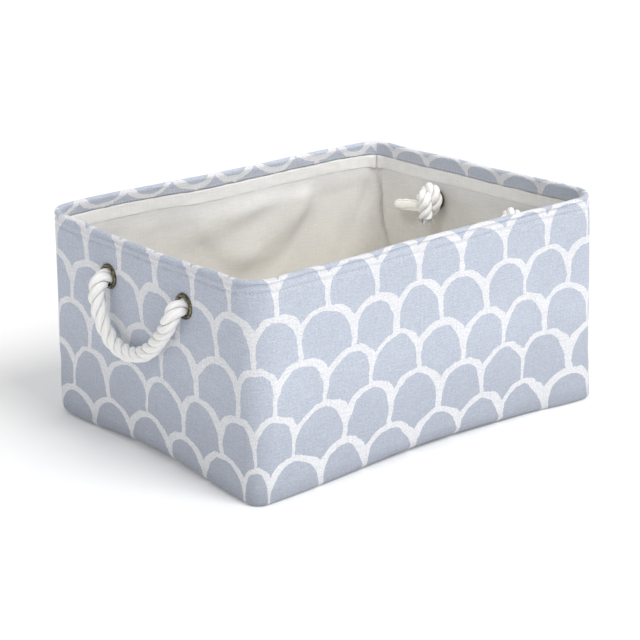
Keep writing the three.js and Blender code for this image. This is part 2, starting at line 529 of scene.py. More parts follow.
def scale_print(finish, u, v, cell, start):
    """1 inside the scales and 0 on the white lines between them."""
    drift_u = (finish.noise(u * 11, v * 13, 3.0) - 0.5) * (19 * MM)
    drift_v = (finish.noise(u * 12, v * 9, 9.0) - 0.5) * (15 * MM)
    hand_u = (finish.noise(u * 75, v * 75, 1.0) - 0.5) * (4.6 * MM)
    hand_v = (finish.noise(u * 75, v * 75, 7.0) - 0.5) * (4.6 * MM)
    edge = (finish.noise(u * 330, v * 330, 2.0, detail=2) - 0.5) * (1.9 * MM)
    x = u + drift_u + hand_u - start
    row = (v + drift_v + hand_v).less_from(ROW_TOP) / ROW
    own_row = row.floor()
    depth = (row - own_row) * ROW
    odd = own_row * 0.5
    odd = (odd - odd.floor()) * 2
    place = x / cell + odd * -0.5 + 0.5
    across = (place - place.round()) * cell
    arch = (across / ARCH_WIDE).apply("POWER", 2.0).less_from(1.0).root().less_from(1.0) * ARCH_HIGH
    own = depth > arch + edge
    above = across - across.sign() * (cell / 2)
    offset = above + own * (across - above)
    depth = depth + own.less_from(1.0) * ROW
    number = ((x - offset) / (cell / 2)).round()
    level = own_row - own.less_from(1.0)
    chance = finish.random(number, level, 4.0)
    chance_2 = finish.random(number, level, 8.0)
    offset = offset + chance * (2.6 * MM) - 0.2 * MM
    half = chance_2 * (-1.6 * MM) + (cell / 2 - 1.9 * MM)
    dome = (offset / half).absolute().apply("POWER", 2.1).less_from(1.0).root().less_from(1.0)
    inner = dome * DOME_HIGH + (chance_2 * (1.8 * MM) + OUTLINE - 0.9 * MM)
    below = (depth - inner - edge) / PRINT_BLUR + 0.5
    beside = (half - offset.absolute() + edge) / PRINT_BLUR + 0.5
    return below.clamped() * beside.clamped()


CANVAS_BLUE = (0.530, 0.571, 0.662)
CANVAS_FLECK = (0.72, 0.74, 0.80)
CANVAS_WHITE = (0.805, 0.810, 0.840)


def printed_canvas(cell, start):
    finish = Finish("printed_canvas", roughness=0.85, specular_ior_level=0.18, sheen_weight=0.12,
                    sheen_roughness=0.5)
    u, v = finish.uv()
    height, slubs = weave(finish, u, v, 0.95 * MM)
    scales = scale_print(finish, u, v, cell, start)
    patches = finish.noise(u * 25, v * 25, 4.0, detail=2)
    fleck = (finish.noise(u * 160, v * 1500, 6.0, detail=1) - 0.60) * 6
    fleck = fleck.clamped() * 0.42
    # Painted shade: the blue is made up to 23 % darker and the white up to 8 % darker towards the bottom
    # of the walls, below 100 mm.
    low = (v / (100 * MM)).clamped()
    grain = finish.noise(u * 430, v * 900, 12.0, detail=2, rough=0.8) - 0.5
    blue = finish.scaled(finish.blend(fleck, CANVAS_BLUE, CANVAS_FLECK), low * 0.23 + 0.77)
    white = finish.scaled(CANVAS_WHITE, low * 0.08 + 0.92)
    # Painted shade: the canvas is made up to 20 % darker where it turns under at the bottom edge, fading
    # out 17 mm up the wall.
    edge = ((v + 3 * MM) / (20 * MM)).clamped() * 0.20 + 0.80
    base = finish.scaled(finish.blend(scales, white, blue), edge)
    finish.colour(finish.scaled(base, slubs * 0.50 + patches * 0.08 + grain * 0.85 + 0.72))
    finish.bump(height, 0.22 * MM)
    return finish.material


def plain_cloth(name, colour, painted_low_shade=None):
    """Unprinted cotton. Given a second colour, a painted warm shade is multiplied in: whole below 70 mm,
    fading out by 170 mm.
    """
    finish = Finish(name, roughness=0.9, specular_ior_level=0.15, sheen_weight=0.10,
                    sheen_roughness=0.5)
    u, v = finish.uv()
    height, slubs = weave(finish, u, v, 0.8 * MM)
    patches = finish.noise(u * 18, v * 18, 4.0, detail=2)
    dark = tuple(0.80 * c for c in colour)
    base = finish.blend(slubs * 1.3 - 0.15, dark, tuple(min(1, 1.10 * c) for c in colour))
    if painted_low_shade:
        up = ((v - 70 * MM) / (100 * MM)).clamped()
        base = finish.blend(up, finish.scaled(base, painted_low_shade), base)
    finish.colour(finish.scaled(base, patches * 0.16 + 0.92))
    finish.bump(height, 0.10 * MM)
    return finish.material


def cotton_rope(name, colour, lift=0.95):
    finish = Finish(name, roughness=0.95, specular_ior_level=0.1, sheen_weight=0.25,
                    sheen_roughness=0.4)
    u, v = finish.uv()
    yarn = ((u * 22 + v * 1100) + finish.noise(u * 30, v * 200) * 2.5).sine()
    fuzz = finish.noise(u * 60, v * 1200, 2.0, detail=3, rough=0.65)
    blotch = finish.noise(u * 4, v * 60, 5.0, detail=1)
    # Painted shade: the cotton is made darker in the grooves between the strands.
    groove = (((u - u.floor()) - 0.5).absolute() * 2).apply("POWER", 14.0)
    shade = yarn * 0.04 + fuzz * 0.14 + blotch * 0.06 + groove * -0.55 + lift
    finish.colour(finish.scaled(finish.blend(fuzz, tuple(0.90 * c for c in colour), colour), shade))
    finish.bump(yarn * 0.22 + fuzz * 0.7, 0.30 * MM)
    return finish.material


def sewing_thread():
    finish = Finish("sewing_thread", roughness=0.6, specular_ior_level=0.3, sheen_weight=0.2)
    u, v = finish.uv()
    ply = (u * 2 + v * 4200).sine()
    finish.colour(finish.blend(ply * 0.5 + 0.5, (0.70, 0.71, 0.74), (0.84, 0.84, 0.85)))
    finish.bump(ply, 0.08 * MM)
    return finish.material


def antique_brass():
    finish = Finish("antique_brass", metallic=1.0, specular_ior_level=0.5)
    x, y, z = finish.space()
    patina = finish.noise(x * 500, y * 500, z * 500, detail=3, rough=0.6)
    scratch = finish.noise(x * 2500, y * 300, z * 2500, detail=2)
    worn = ((patina - 0.45) * 3).clamped()
    finish.colour(finish.blend(worn, (0.085, 0.072, 0.048), (0.42, 0.38, 0.25)))
    finish.rough(patina * 0.25 + scratch * 0.15 + 0.16)
    finish.bump(patina + scratch * 0.3, 0.06 * MM)
    return finish.material


def steel_wire():
    finish = Finish("steel_wire", metallic=1.0)
    x, y, z = finish.space()
    drawn = finish.noise(x * 90, y * 90, z * 3000, detail=2)
    finish.colour(finish.blend(drawn, (0.42, 0.43, 0.44), (0.62, 0.63, 0.65)))
    finish.rough(drawn * 0.2 + 0.25)
    finish.bump(drawn, 0.03 * MM)
    return finish.material


def grey_board():
    finish = Finish("grey_board", roughness=0.9)
    x, y, z = finish.space()
    fibres = finish.noise(x * 260, y * 260, z * 900, detail=3, rough=0.7)
    finish.colour(finish.blend(fibres, (0.24, 0.21, 0.17), (0.44, 0.41, 0.36)))
    finish.bump(fibres, 0.12 * MM)
    return finish.material


# ---- Rope: three strands laid together

ROPE_LAY = 38 * MM  # length of one turn of a strand
KNOT_LAY = 32 * MM
STRAND_SIDES = 22


def rope_rings(line, along, seed, squeeze, lay):
    """Rings of points round the line, whose three lobes twist along it, and the u of each point of
    a ring, which turns round a strand."""
    across, up, _ = carried_frames(line)
    draw = ripple(seed, 60 * MM)
    lobe = np.linspace(-1, 1, STRAND_SIDES, endpoint=False) * math.pi / 3
    lobes = np.concatenate([lobe + 2 * math.pi / 3 * k for k in range(3)])
    folded = np.tile(lobe, 3)
    strand, centre = 0.64 * ROPE_R, 0.38 * ROPE_R
    groove = 0.14 * ROPE_R * np.exp(-((math.pi / 3 - abs(folded)) / 0.11) ** 2)
    reach = centre * np.cos(folded) + np.sqrt(strand ** 2 - (centre * np.sin(folded)) ** 2) - groove
    turn = 2 * math.pi * along / lay + 0.5 * draw(along)
    scale = (1 + 0.03 * draw(along, 0.37)) * squeeze
    angle = lobes[None, :] + turn[:, None]
    swell = 1 + 0.035 * np.stack([ripple(seed + 1 + k, 24 * MM)(along) for k in range(3)], 1)
    reach = reach[None, :] * scale[:, None] * np.repeat(swell, STRAND_SIDES, 1)
    rings = (line[:, None, :] + across[:, None, :] * (np.cos(angle) * reach)[..., None]
             + up[:, None, :] * (np.sin(angle) * reach)[..., None])
    return rings, np.tile((lobe / (math.pi / 3) + 1) / 2, 3) + np.repeat([0, 2, 4], STRAND_SIDES)


def rope_piece(name, line, along, seed, squeeze, lay):
    rings, u = rope_rings(line, along, seed, squeeze, lay)
    uv = tube_uv(u, u + 1 / STRAND_SIDES, along, 0.5)
    return mesh_piece(name, rings.reshape(-1, 3), closed_tube(*rings.shape[:2]), cotton, uv)


cotton = cotton_rope("cotton_rope", (0.985, 0.98, 0.965))
# Painted light: the cut end's cotton is made lighter than the rope's (lift 1.06), to make up for the
# knot's shadow on it.
tail_cotton_painted_lighter = cotton_rope("cut_rope_end_painted_lighter", (1.0, 0.98, 0.92), 1.06)

# The route of the left handle from eyelet to eyelet, in millimetres from the middle of the bin
HANDLE = [(-196, 56, 154), (-202, 56, 154), (-208.5, 56, 152), (-212.6, 56, 146.5),
          (-213.5, 56, 137), (-212.5, 54.5, 125), (-211, 50.5, 112), (-210, 42, 101),
          (-209.5, 27, 95), (-209.5, 10, 95.5), (-209.5, -6, 100.5), (-210, -21, 109.5),
          (-211.5, -36, 122.5), (-213, -48.5, 136), (-212.8, -54, 146), (-208.5, -56, 152),
          (-202, -56, 154), (-196, -56, 154)]

BEND_AT, BEND_LONG = 13.5 * MM, 6.5 * MM  # along the rope from each end, to where it turns down
BEND_SWELL = 0.19  # how much thicker the rope is there

for side, way in (("left", 1), ("right", -1)):
    route = [(way * x * MM, way * y * MM, z * MM) for x, y, z in HANDLE]
    line, along = spline(route, 1.25 * MM)
    ends = np.minimum(along, along[-1] - along)
    swollen = 1 + BEND_SWELL * np.exp(-((ends - BEND_AT) / BEND_LONG) ** 2)
    piece = rope_piece(f"handle_rope_{side}", line, along, 20 + way, swollen, ROPE_LAY)
    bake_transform(piece)
    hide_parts(f"rope_handle_{side}")

# ---- The walls' shape

walk = Walk(3.0 * MM, 14)
U, AROUND = walk.u, walk.around
CELL = AROUND / SCALES_ROUND
front_columns = np.where((walk.turn > 1.49 * math.pi) & (walk.turn < 1.51 * math.pi)
                         & (walk.first == 1))[0]
front_x = walk.at(TOP, 0.0)[0]
PRINT_START = float(np.interp(SCALE_X, front_x[front_columns], U[front_columns]))

broad = ripple(3, 190 * MM, AROUND)
medium = ripple(4, 75 * MM, AROUND)
pucker = ripple(5, 15 * MM, AROUND)
fine_pucker = ripple(6, 6.5 * MM, AROUND)


SLACK, SMALL_SLACK = 0.75 * MM, 0.32 * MM  # the canvas's waves between the floor and the rim
DENT_Z, DENT_HIGH, DENT_DEEP = 50 * MM, 10 * MM, 0.8 * MM  # long dents low on the walls
DIMPLE_HIGH, DIMPLE_DEEP = 1.5 * MM, 1.05 * MM  # where the stitches pull the canvas in
GATHER_HIGH, GATHER, SMALL_GATHER = 6 * MM, 0.28 * MM, 0.12 * MM
FOOT_HIGH, FOOT_DEEP = 60 * MM, 3.5 * MM  # the foot of each wall is drawn in halfway along


def wall_inset(u, z, middle):
    """How far the canvas stands inside the plan: slack and dents, puckers at the stitches."""
    hold = np.sin(math.pi * np.clip(z / TOP, 0, 1)) ** 0.7
    slack = hold * (SLACK * broad(u, z) + SMALL_SLACK * medium(u, z))
    dent = np.exp(-((z - DENT_Z) / DENT_HIGH) ** 2)
    slack = slack + DENT_DEEP * dent * smooth(broad(u, 0.31), -0.6, 0.8)
    gap = z - STITCHES
    near = np.exp(-(gap / GATHER_HIGH) ** 2)
    dimple = DIMPLE_DEEP * np.exp(-(gap / DIMPLE_HIGH) ** 2) * (1 + 0.35 * fine_pucker(u, 0.0))
    gathers = near * (GATHER * pucker(u, z * 0.4) + SMALL_GATHER * fine_pucker(u, z * 0.3))
    under_roll = 1.0 * MM * smooth(z, STITCHES + 3 * MM, TOP - 2 * ROLL - 0.5 * MM)
    foot = middle * FOOT_DEEP * (1 - smooth(z, 0, FOOT_HIGH))
    return slack + dimple + gathers + under_roll + foot + 0.3 * MM


# How far the rim and its stitches are out of level round the bin: x, y, rim and stitches, in mm
LEVELS = [(-200, 110, -5, -5), (-200, 40, -8.5, -4.5), (-200, -30, -8.5, -5), (-200, -110, -5.6, -4),
          (-130, -150, -3.4, -2.6), (0, -150, -1.8, -1), (130, -150, -1, 0.8), (200, -100, 2.3, 1.5),
          (200, 0, 1, 0.2), (200, 110, -0.6, -0.8), (130, 150, 0.3, 2), (0, 150, -0.3, 0.5),
          (-130, 150, 0, 2.8), (-190, 145, -0.5, 1)]


def level(column):
    """A smooth function of u through one column of LEVELS."""
    px, py = walk.at(TOP, 0.0)
    places = [U[np.argmin(np.hypot(px - row[0] * MM, py - row[1] * MM))] for row in LEVELS]

    def value(u):
        total, weight = 0.0, 0.0
        for place, row in zip(places, LEVELS):
            off = (u - place + AROUND / 2) % AROUND - AROUND / 2
            share = np.exp(-(off / (48 * MM)) ** 2) + 1e-9
            total, weight = total + row[column] * MM * share, weight + share
        return total / weight

    return value


rim_level, hem_level = level(2), level(3)


def rim_rise(u):
    return rim_level(u) + 0.3 * MM * broad(u, 0.7) + 0.2 * MM * medium(u, 0.3)


def hem_rise(u):
    return hem_level(u) + 0.3 * MM * medium(u, 0.5)


def risen(u, z):
    """The real height of a place on the walls that is at z where the rim is level."""
    to_hem = smooth(z, 160 * MM, STITCHES - 4 * MM)
    to_rim = smooth(z, STITCHES + 3 * MM, TOP - ROLL)
    return z + to_hem * hem_rise(u) + to_rim * (rim_rise(u) - hem_rise(u))


middle = walk.middle()
left_back = np.minimum(U, AROUND - U)
bottom_round = (4.5 + 7.5 * middle + 6 * np.exp(-(left_back / (32 * MM)) ** 2)) * MM
low_angles = np.linspace(1.5 * math.pi, math.pi, 9)
wall_heights = np.concatenate([
    np.arange(14 * MM, STITCHES - 9 * MM, 3.2 * MM),
    np.arange(STITCHES - 8.5 * MM, STITCHES - 2.2 * MM, 1.5 * MM),
    STITCHES + np.arange(-2.0, 2.1, 0.8) * MM,
    np.linspace(STITCHES + 3.2 * MM, TOP - ROLL - 0.8 * MM, 6),
])
roll_angles = np.linspace(math.pi, 0, 15)
facing_heights = np.linspace(TOP - ROLL - 1 * MM, FACING_EDGE, 8)

outer, inner, v_rows = [], [], []


def add_row(z, inset, toward_z, toward_inset, v):
    outer.append(walk.points(z, inset))
    inner.append(walk.points(z + CANVAS * toward_z, inset + CANVAS * toward_inset))
    v_rows.append(np.broadcast_to(v, U.shape))


first_round = wall_inset(U, bottom_round, middle)
wall_lift = 1.8 * MM * middle + 0.05 * MM  # the bottom edge is off the floor halfway along each side
add_row(wall_lift, bottom_round + first_round + 5 * MM, 1, 0, -12 * MM)
for angle in low_angles:
    z = bottom_round * (1 + math.sin(angle)) + wall_lift
    inset = bottom_round * (1 + math.cos(angle)) + first_round
    share = (angle - low_angles[0]) / (low_angles[-1] - low_angles[0])
    add_row(z, inset, -math.sin(angle), -math.cos(angle), (share - 1) * 1.57 * bottom_round + bottom_round)
for z in wall_heights:
    add_row(risen(U, z), wall_inset(U, z, middle), 0, 1, risen(U, z))
roll_wave = rim_rise(U)
for angle in roll_angles:
    z = TOP - ROLL + ROLL * math.sin(angle) + roll_wave - 0.5 * MM
    inset = ROLL + ROLL * math.cos(angle) + 0.3 * MM + 0.25 * MM * pucker(U, 0.1)
    share = (math.pi - angle) * ROLL
    add_row(z, inset, -math.sin(angle), -math.cos(angle), TOP - ROLL + roll_wave + share)
for z in facing_heights:
    lean = (TOP - ROLL - z) / (TOP - ROLL - FACING_EDGE)
    inset = (2 * ROLL + 0.3 * MM) + lean * (4.6 * MM - 2 * ROLL) + lean * 0.35 * MM * pucker(U, z * 0.3)
    height = z - 0.5 * MM + roll_wave * (1 - lean) + hem_rise(U) * lean
    add_row(height, inset, 0, -1, TOP - ROLL + roll_wave + math.pi * ROLL + (TOP - ROLL - z))

outer, inner, v_rows = np.array(outer), np.array(inner), np.array(v_rows)
FAR_TURN, NEAR_TURN = 4, 11  # rows of the roll where the inside print starts
INSIDE_SHIFT = (0.025, 0.041)  # how far along the inside print is moved, on the ends and long sides
LONG_START = ROW_TOP - 16.5 * MM  # the v of the print where it starts inside the long sides
END_START, END_LIMIT = ROW_TOP + 4.5 * MM, ROW_TOP - 3.5 * MM  # inside the ends, and its limit there
END_SQUEEZE = 2.2  # how many times shorter the print is inside the ends
first_roll_row = 1 + len(low_angles) + len(wall_heights)


def canvas_uv():
    """(u, v) of each quad's corners. Over the roll the print starts again: upside down along the
    long sides, where the cloth folds over, and upright along the ends."""
    side = walk.side()
    long_side = (side % 2 == 1)[:, None]
    start = first_roll_row + np.where(side < 2, NEAR_TURN, FAR_TURN)
    fold = v_rows[start, np.arange(walk.count)]
    u = quad_corners(np.broadcast_to(U, v_rows.shape),
                     np.broadcast_to(np.append(U[1:], AROUND), v_rows.shape))
    v = quad_corners(v_rows)
    down = v - quad_corners(np.broadcast_to(fold, v_rows.shape))
    folded = np.where(long_side, LONG_START + down,
                      np.minimum(END_START - END_SQUEEZE * down, END_LIMIT))
    inside = (np.arange(len(v))[:, None] >= start)[..., None]
    u = u + np.where(inside, np.where(long_side, INSIDE_SHIFT[1], INSIDE_SHIFT[0]), 0)
    return np.stack([u, np.where(inside, folded, v)], -1)


canvas = printed_canvas(CELL, PRINT_START)
shell = double_cloth("canvas_shell", outer, inner, canvas, canvas_uv(), eyelet_gap(outer))
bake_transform(shell)
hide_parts("outer_wall", "rim_hem")

# ---- Panels of the base: canvas under it, board, lining above

panel_walk = Walk(8 * MM, 6)
along_side = panel_walk.middle()


def panel(name, material, low_z, high_z, inset, rings, edge_lift=0.0, puckers=None):
    """A closed sheet in the plan's shape, of rings of points inside each other, top and bottom. Its
    edge lifts halfway along each side."""
    shares = np.append(np.linspace(0, 1, rings)[:-1] ** 0.6, [0.99, 0.999, 1])  # 1 is the middle
    layers = []
    for height in (high_z, low_z):
        edge = panel_walk.points(np.full(panel_walk.count, height), inset)
        stack = []
        for share in shares:
            ring = edge.copy()
            ring[:, :2] *= 1 - share * 0.9997
            ring[:, 2] = height + edge_lift * along_side * (1 - smooth(share, 0, 0.12))
            if puckers:
                ring[:, 2] += puckers(ring[:, 0], ring[:, 1]) * smooth(share, 0, 0.02)
            stack.append(ring)
        layers.append(np.array(stack))
    upper, lower = layers
    return double_cloth(name, upper, lower, material, quad_corners(upper[..., :2] + 2 * HALF_X))


# The second colour is a painted warm shade, low down inside the bin.
cream = plain_cloth("cream_lining", (0.775, 0.766, 0.748), (0.97, 0.935, 0.86))
soft_puckers = ripple(11, 60 * MM)
underside = panel("underside_canvas", canvas, 1.15 * MM, 2.15 * MM, (8 + 8 * along_side) * MM, 14,
                  edge_lift=1.8 * MM)
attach(underside, "base")
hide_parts("outer_base")
board = panel("stiffening_board", grey_board(), 3.0 * MM, 5.2 * MM, (14 + 12 * along_side) * MM, 5)
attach(board, "base")
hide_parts("base_board")
floor_cloth = panel("lining_floor", cream, LINING_FLOOR - 0.3 * MM, LINING_FLOOR + 0.4 * MM,
                    (5 + 3.5 * along_side) * MM, 22,
                    puckers=lambda x, y: 0.35 * MM * soft_puckers(x, y) + 0.35 * MM)
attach(floor_cloth, "base")
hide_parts("lining_base")

# ---- Lining walls: loose cloth between the band under the facing and the floor

lining_walk = Walk(3 * MM, 24, 0.6)
LU = lining_walk.u


def along_walls(x, y):
    """The u of the point of the lining nearest to x and y."""
    px, py = lining_walk.at(TOP, 4 * MM)
    return LU[np.argmin(np.hypot(px - x, py - y))]


# Pulled folds: x, y, z of both ends of the ridge, its reach above and below, and its height, in mm
FOLDS = [((-56, 146, 140), (60, 146, 175), 22, 15, 7.0), ((2, 146, 104), (106, 146, 158), 27, 17, 10.0),
         ((150, 146, 70), (194, 146, 112), 16, 7, 5.0), ((-165, 146, 100), (-90, 146, 170), 18, 13, 2.5),
         ((196, 66, 70), (196, 92, 165), 14, 9, 2.5), ((196, 20, 160), (196, -58, 100), 18, 10, 3.0),
         ((196, -96, 62), (196, -60, 150), 16, 9, 3.0), ((-90, -146, 70), (60, -146, 165), 21, 12, 5.0),
         ((90, -146, 150), (165, -146, 80), 17, 10, 3.5), ((-196, 95, 75), (-196, 40, 150), 17, 10, 3.5),
         ((-196, -30, 150), (-196, -100, 85), 16, 9, 3.5)]

# Each corner's crease: how far along the wall it wanders on its way down, and how far along the
# other wall the cloth that bridges the corner reaches, in mm
CREASES = [(12, 28), (-14, 30), (10, 26), (-24, 62)]
CREASE_DROP = 84 * MM  # below the band, where a crease has wandered that far
CREASE_DEEP, CREASE_WIDE = 9.0 * MM, 3.0 * MM
SWELL_DEEP, SWELL_WIDE = 6.0 * MM, 15 * MM  # how the cloth stands off on both sides of a crease
BAND_TUCK_DEEP, BAND_TUCK_WIDE = 6.0, 1.9 * MM  # the band goes back to the canvas at a crease
BAND_SWELL_DEEP, BAND_SWELL_WIDE = 4.2, 8 * MM  # and stands off beside it; both depths are in mm


def crease_offsets(corner, u, z):
    """Distance past a corner's crease towards the corner, and the far end of the bridge past it."""
    sx, sy, radius = CORNERS[corner]
    near = radius * (1 - math.sqrt(0.5))
    at = along_walls(sx * (HALF_X - near), sy * (HALF_Y - near))
    off = (u - at + AROUND / 2) % AROUND - AROUND / 2
    wander, reach = CREASES[corner]
    way = -1 if wander > 0 else 1
    down = np.clip((BAND_EDGE - z) / CREASE_DROP, 0, 1.2)
    crease = (wander * down + 1.2 * np.sin(z * 95 + corner) * np.minimum(down * 3, 1)) * MM
    return (off - crease) * way, reach * MM * down - crease * way


def bridged(points, z):
    """A row of points of the lining, with straight stretches of cloth across the corners."""
    moved = points.copy()
    for corner in range(4):
        past, end = crease_offsets(corner, LU, z)
        if end < 4 * MM:
            continue
        order = np.argsort(past)
        share = np.clip(past / end, 0, 1)
        for axis in range(2):
            a, b = np.interp([0, end], past[order], points[order, axis])
            straight = a + (b - a) * share
            inside = (past > 0) & (past < end)
            moved[:, axis] += np.where(inside, (straight - points[:, axis]) * (1 - share ** 5), 0)
    return moved


lining_broad = ripple(31, 90 * MM, AROUND)


def lining_folds(u, z):
    """How far the loose lining stands off the canvas: folds pulled across the walls."""
    share = np.clip((z - LINING_FLOOR) / (BAND_EDGE - LINING_FLOOR), 0, 1)
    loose = smooth(share, 0.0, 0.12) * (1 - smooth(share, 0.90, 1.0))
    depth = 0.8 * MM * (lining_broad(u, z) + 1.2)
    for (x0, y0, z0), (x1, y1, z1), above, below, height in FOLDS:
        u0, u1 = along_walls(x0 * MM, y0 * MM), along_walls(x1 * MM, y1 * MM)
        run, rise = u1 - u0, (z1 - z0) * MM
        length = math.hypot(run, rise)
        part = ((u - u0) * run + (z - z0 * MM) * rise) / length ** 2
        off = ((u - u0) * rise - (z - z0 * MM) * run) / length
        off = off + 4 * MM * np.sin(3.0 * part)
        reach = np.where(off * run > 0, below, above) * MM
        taper = smooth(part, -0.25, 0.25) * (1 - smooth(part, 0.85, 1.15))
        depth = depth + height * MM * np.exp(-(off / reach) ** 2) * taper
    depth = np.maximum(depth, 0)
    for corner in range(4):
        past, _ = crease_offsets(corner, u, z)
        depth = depth + SWELL_DEEP * np.exp(-(past / SWELL_WIDE) ** 2)
    return loose * depth


def lining_creases(u, z):
    """How far the cloth turns back towards the canvas in the corners' creases."""
    share = (z - LINING_FLOOR) / (BAND_EDGE - LINING_FLOOR)
    deep = smooth(share, 0.05, 0.2) * (1 - smooth(share, 0.97, 1.0))
    notch = 0.0
    for corner in range(4):
        past, _ = crease_offsets(corner, u, z)
        notch = notch + CREASE_DEEP * np.exp(-np.abs(past) / CREASE_WIDE)
    return deep * notch


SETTLED = 0.3  # share of the hanging cloth's own movement that is kept


def hang(points, held, frames=9):
    """Cloth simulation of a ring of cloth, rows by columns of points, between its held rows. The
    cut is a little larger than the space it hangs in."""
    rows, columns = points.shape[:2]
    index = np.arange(rows * columns).reshape(rows, columns)
    sample = mesh_piece("hanging_sample", points.reshape(-1, 3),
                        quad_corners(index).reshape(-1, 4), None)
    group = sample.vertex_groups.new(name="held")
    group.add([int(i) for i in index[held].ravel()], 1.0, "REPLACE")
    cloth = sample.modifiers.new("cloth", "CLOTH")
    cloth.settings.quality = 5
    cloth.settings.mass = 0.2
    cloth.settings.tension_stiffness = 25
    cloth.settings.compression_stiffness = 25
    cloth.settings.shear_stiffness = 8
    cloth.settings.bending_stiffness = 3.0
    cloth.settings.shrink_min = -0.005
    cloth.settings.vertex_group_mass = "held"
    cloth.collision_settings.use_self_collision = False
    scene = bpy.context.scene
    scene.frame_start, scene.frame_end = 1, frames
    cloth.point_cache.frame_start, cloth.point_cache.frame_end = 1, frames
    for step in range(1, frames + 1):
        scene.frame_set(step)
    settled = sample.evaluated_get(bpy.context.evaluated_depsgraph_get())
    moved = np.zeros(rows * columns * 3, np.float32)
    settled.data.vertices.foreach_get("co", moved)
    bpy.data.objects.remove(sample)
    scene.frame_set(1)
    return moved.reshape(rows, columns, 3).astype(float)


def lining_wall():
    heights = np.concatenate([[LINING_FLOOR + 0.2 * MM, LINING_FLOOR + 1.5 * MM],
                              np.arange(LINING_FLOOR + 4 * MM, BAND_EDGE + 9 * MM, 3.2 * MM)])
    part = lining_walk.middle()
    base_round = (7 + 5 * part) * MM
    front, least = [], []
    for z in heights:
        curve = base_round * (1 - np.sqrt(np.clip(1 - (1 - z / base_round).clip(0, 1) ** 2, 0, 1)))
        gap = 2.5 * MM * (1 - smooth(z, LINING_FLOOR, LINING_FLOOR + 6 * MM)) ** 2
        clear = wall_inset(LU, z, part) + curve + CANVAS + LINING + 0.5 * MM
        clear = np.maximum(clear, 4.3 * MM * smooth(z, BAND_EDGE - 30 * MM, BAND_EDGE - 4 * MM))
        least.append(clear)
        front.append(bridged(lining_walk.points(z, clear + gap + lining_folds(LU, z)), z))
    front, least = np.array(front), np.array(least)
    held = np.zeros(len(heights), bool)
    held[:3] = True
    held[heights > BAND_EDGE - 3 * MM] = True
    front = front + SETTLED * (hang(front, held) - front)
    flat_x, flat_y = lining_walk.at(front[..., 2], 0.0)
    across = np.stack([np.cos(lining_walk.turn), np.sin(lining_walk.turn)], -1)
    inset = (flat_x - front[..., 0]) * across[:, 0] + (flat_y - front[..., 1]) * across[:, 1]
    creased = inset - np.array([lining_creases(LU, z) for z in heights])
    front[..., :2] -= (np.maximum(creased, least) - inset)[..., None] * across
    back = front.copy()
    back[..., :2] += LINING * across
    piece = double_cloth("lining_walls", back, front, cream, strip_uv(LU, heights),
                         eyelet_gap(front))
    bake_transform(piece)
    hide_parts("lining_wall")


def band_fold():
    """The turned-down top of the lining: a flat band with a rolled lower edge, and a narrow lip
    folded under the facing's edge."""
    band_walk = Walk(3 * MM, 30, 0.5)
    u = band_walk.u
    sag = 0.5 * MM * ripple(41, 90 * MM, AROUND)(u)
    gather = ripple(42, 13 * MM, AROUND)
    top_z = FACING_EDGE + 3 * MM
    profile = [(top_z, 2.9), (FACING_EDGE + 0.4 * MM, 3.3), (FACING_EDGE - 0.4 * MM, 3.5),
               (FACING_EDGE - 1.1 * MM, 3.8), (FACING_EDGE - 1.6 * MM, 4.6), (FACING_EDGE - 2.1 * MM, 4.8),
               (FACING_EDGE - 3.5 * MM, 4.7), (FACING_EDGE - 7 * MM, 4.75), (BAND_EDGE + 3.0 * MM, 4.75),
               (BAND_EDGE + 1.2 * MM, 4.7), (BAND_EDGE + 0.3 * MM, 4.6), (BAND_EDGE - 0.1 * MM, 4.4)]
    tuck = 0.0
    for corner in range(4):
        past = crease_offsets(corner, u, BAND_EDGE)[0]
        tuck = tuck + BAND_TUCK_DEEP * np.exp(-np.abs(past) / BAND_TUCK_WIDE)
        tuck = tuck - BAND_SWELL_DEEP * np.exp(-(past / BAND_SWELL_WIDE) ** 2)
    front, back = [], []
    for z, inset in profile:
        share = (top_z - z) / (top_z - BAND_EDGE)
        height = z + sag * share + hem_rise(u)
        depth = inset * MM + (0.22 * gather(u, z) - tuck) * MM * smooth(share, 0.1, 0.4)
        front.append(band_walk.points(height, depth))
        back.append(band_walk.points(height, np.minimum(depth - 0.6 * MM, 4.0 * MM)))
    uv = strip_uv(u, np.array([z for z, _ in profile]))
    piece = double_cloth("lining_band_fold", np.array(front), np.array(back), band_painted_lighter, uv)
    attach(piece, "rim")
    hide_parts("lining_band")


# Painted light: the band is the lining's own cloth, made lighter, as if better lit at the top of the
# walls.
band_painted_lighter = plain_cloth("band_painted_lighter", (0.90, 0.893, 0.880))
band_fold()
lining_wall()

# ---- Stitches: thread dashes sunk in the hem, outside and inside

thread = sewing_thread()
STITCH_PITCH, STITCH_LENGTH = 3.5 * MM, 2.5 * MM
STITCH_SIDES, STITCH_RINGS = 6, 7


